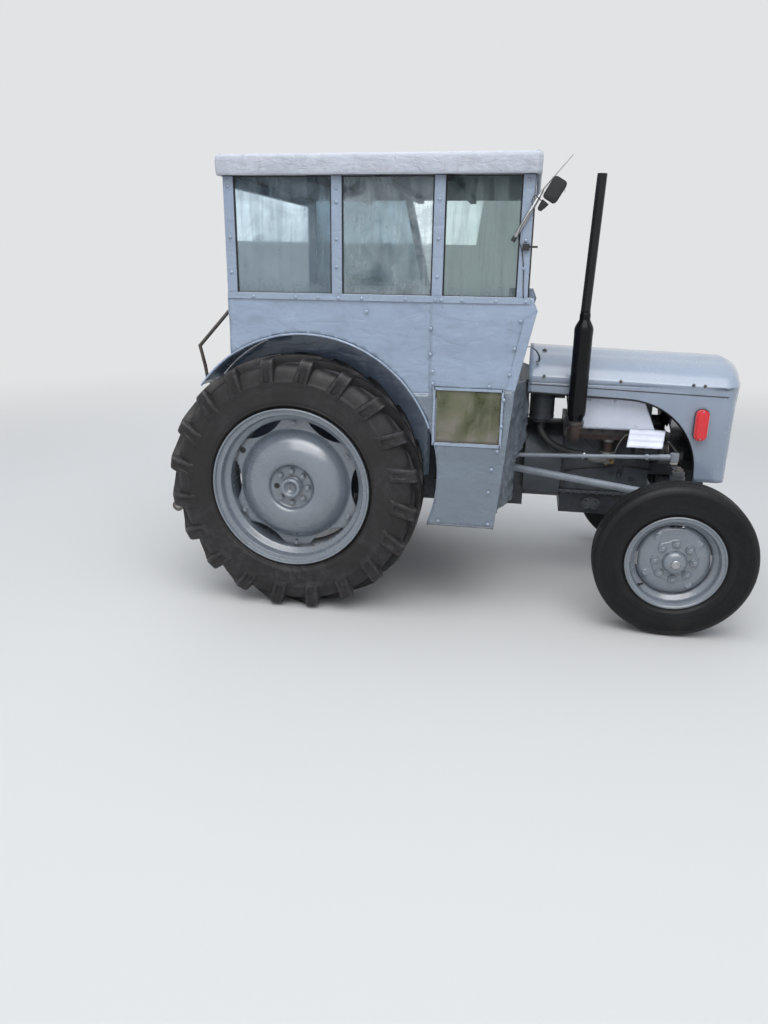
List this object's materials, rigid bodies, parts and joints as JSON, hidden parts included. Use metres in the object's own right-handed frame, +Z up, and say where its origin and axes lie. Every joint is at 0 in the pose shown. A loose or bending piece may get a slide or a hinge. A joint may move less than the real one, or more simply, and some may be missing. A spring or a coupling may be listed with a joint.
{
  "type": "vintage tractor with a home-made cab",
  "caption": "Small grey two-wheel-drive utility tractor with a boxy sheet-metal cab, open engine bay, upright exhaust and a rear lift linkage.",
  "frame": {"origin": "middle of the machine's length and width, on the ground", "axes": "+X forward, +Y to the tractor's left, +Z up"},
  "size_m": [2.921, 1.506, 2.066],
  "materials": {
    "grey_paint": "blue-grey gloss paint over dented sheet, worn at the edges",
    "engine_grey": "painted rough castings with oily dust",
    "rusty_iron": "rusted casting",
    "silver_sheet": "chalky silver paint, ribbed and dented",
    "dirty_steel": "greasy steel",
    "bare_steel": "painted steel rod rubbed bare",
    "black_hose": "dusty rubber",
    "black_paint": "satin black",
    "black_plastic": "matt black",
    "front_rubber": "clean bluish black",
    "rear_rubber": "dusty brown-black",
    "lamp_glass": "red to the rear, clear to the front",
    "floor_plate": "worn dark paint",
    "white_paint": "wrinkled off-white paint",
    "window_pane": "hazy old pane",
    "flap_sheet": "crumpled grey sheet"
  },
  "bodies": {
    "chassis": {"engine": "engine_grey", "manifold": "rusty_iron", "heat_shield": "silver_sheet", "dynamo": "dirty_steel", "air_intake": "black_hose", "exhaust": "black_paint", "fan": "black_paint", "radiator": "black_paint", "fuel_tank": "grey_paint", "battery": "black_plastic", "front_support": "engine_grey", "front_axle": "grey_paint", "radius_rods": "grey_paint", "transmission": "engine_grey", "rear_hitch": "engine_grey", "steering_box": "engine_grey", "dash": "grey_paint", "seat": "grey_paint", "levers": "black_paint", "foot_boards": "floor_plate", "mudguards": "grey_paint", "cab_frame": "grey_paint", "cab_roof": "white_paint", "cab_side_right": "grey_paint", "cab_cheek_right": "grey_paint", "cab_skirt_right": "grey_paint", "cab_front_wall": "grey_paint", "cab_side_left": "grey_paint", "cab_panes": "window_pane", "cab_flaps": "flap_sheet", "cab_lamp": "black_plastic"},
    "steering_wheel": {"steering_wheel": "black_plastic"},
    "drop_arm_right": {"drop_arm_right": "engine_grey"},
    "drop_arm_left": {"drop_arm_left": "engine_grey"},
    "drag_link_right": {"drag_link_right": "bare_steel"},
    "drag_link_left": {"drag_link_left": "bare_steel"},
    "knuckle_right": {"knuckle_right": "engine_grey"},
    "knuckle_left": {"knuckle_left": "engine_grey"},
    "front_wheel_right": {"front_wheel_right": "grey_paint", "front_tyre_right": "front_rubber"},
    "front_wheel_left": {"front_wheel_left": "grey_paint", "front_tyre_left": "front_rubber"},
    "rear_wheel_right": {"rear_wheel_right": "grey_paint", "rear_tyre_right": "rear_rubber"},
    "rear_wheel_left": {"rear_wheel_left": "grey_paint", "rear_tyre_left": "rear_rubber"},
    "bonnet": {"bonnet": "grey_paint", "grille": "grey_paint", "marker_lamps": "lamp_glass"},
    "lift_arms": {"lift_arms": "engine_grey"},
    "lift_rods": {"lift_rods": "grey_paint"},
    "lower_links": {"lower_links": "grey_paint"}
  },
  "joints": [
    {"name": "steering", "type": "hinge", "parent": "chassis", "child": "knuckle_right", "pos_m": [1.0985, -0.475, 0.64], "axis": [0, 0, 1], "range_deg": [-32, 32]},
    {"name": "steering_left", "type": "hinge", "parent": "chassis", "child": "knuckle_left", "pos_m": [1.0985, 0.475, 0.64], "axis": [0, 0, 1], "range_deg": [-32, 32]},
    {"name": "drag_link_ball_right", "type": "hinge", "parent": "knuckle_right", "child": "drag_link_right", "pos_m": [1.0985, -0.34, 0.772], "axis": [0, 0, 1], "range_deg": [-32, 32]},
    {"name": "drag_link_ball_left", "type": "hinge", "parent": "knuckle_left", "child": "drag_link_left", "pos_m": [1.0985, 0.34, 0.772], "axis": [0, 0, 1], "range_deg": [-32, 32]},
    {"name": "drop_arm_shaft_right", "type": "hinge", "parent": "chassis", "child": "drop_arm_right", "pos_m": [0.2505, -0.236, 0.93], "axis": [0, 1, 0], "range_deg": [-22, 22]},
    {"name": "drop_arm_shaft_left", "type": "hinge", "parent": "chassis", "child": "drop_arm_left", "pos_m": [0.2505, 0.236, 0.93], "axis": [0, 1, 0], "range_deg": [-22, 22]},
    {"name": "steering_column", "type": "hinge", "parent": "chassis", "child": "steering_wheel", "pos_m": [-0.1145, 0, 1.262], "axis": [-0.6913, 0, 0.7226], "range_deg": [-384, 384]},
    {"name": "front_wheel_spin_right", "type": "hinge", "parent": "knuckle_right", "child": "front_wheel_right", "pos_m": [1.0985, -0.615, 0.362], "axis": [0, 1, 0], "continuous": true},
    {"name": "front_wheel_spin_left", "type": "hinge", "parent": "knuckle_left", "child": "front_wheel_left", "pos_m": [1.0985, 0.615, 0.362], "axis": [0, 1, 0], "continuous": true},
    {"name": "rear_wheel_spin_right", "type": "hinge", "parent": "chassis", "child": "rear_wheel_right", "pos_m": [-0.6795, -0.611, 0.615], "axis": [0, 1, 0], "continuous": true},
    {"name": "rear_wheel_spin_left", "type": "hinge", "parent": "chassis", "child": "rear_wheel_left", "pos_m": [-0.6795, 0.611, 0.615], "axis": [0, 1, 0], "continuous": true},
    {"name": "bonnet_hinge", "type": "hinge", "parent": "chassis", "child": "bonnet", "pos_m": [1.2805, 0, 0.668], "axis": [0, 1, 0], "range_deg": [0, 72]},
    {"name": "lift_shaft", "type": "hinge", "parent": "chassis", "child": "lift_arms", "pos_m": [-0.7895, 0, 0.886], "axis": [0, 1, 0], "range_deg": [0, 50]},
    {"name": "lower_link_pins", "type": "hinge", "parent": "chassis", "child": "lower_links", "pos_m": [-0.6595, 0, 0.446], "axis": [0, 1, 0], "range_deg": [0, 38]},
    {"name": "lift_rod_pins", "type": "hinge", "parent": "lift_arms", "child": "lift_rods", "pos_m": [-1.03382, 0, 0.79707], "axis": [0, 1, 0], "range_deg": [-56, 0]}
  ],
  "couplings": [
    {"joint": "steering_left", "follows": "steering", "ratio": 1},
    {"joint": "drag_link_ball_right", "follows": "steering", "ratio": -1},
    {"joint": "drag_link_ball_left", "follows": "steering", "ratio": -1},
    {"joint": "drop_arm_shaft_right", "follows": "steering", "ratio": 0.66},
    {"joint": "drop_arm_shaft_left", "follows": "steering", "ratio": -0.66},
    {"joint": "steering_column", "follows": "steering", "ratio": 12},
    {"joint": "lower_link_pins", "follows": "lift_shaft", "ratio": 0.741},
    {"joint": "lift_rod_pins", "follows": "lift_shaft", "ratio": -1.107}
  ]
}
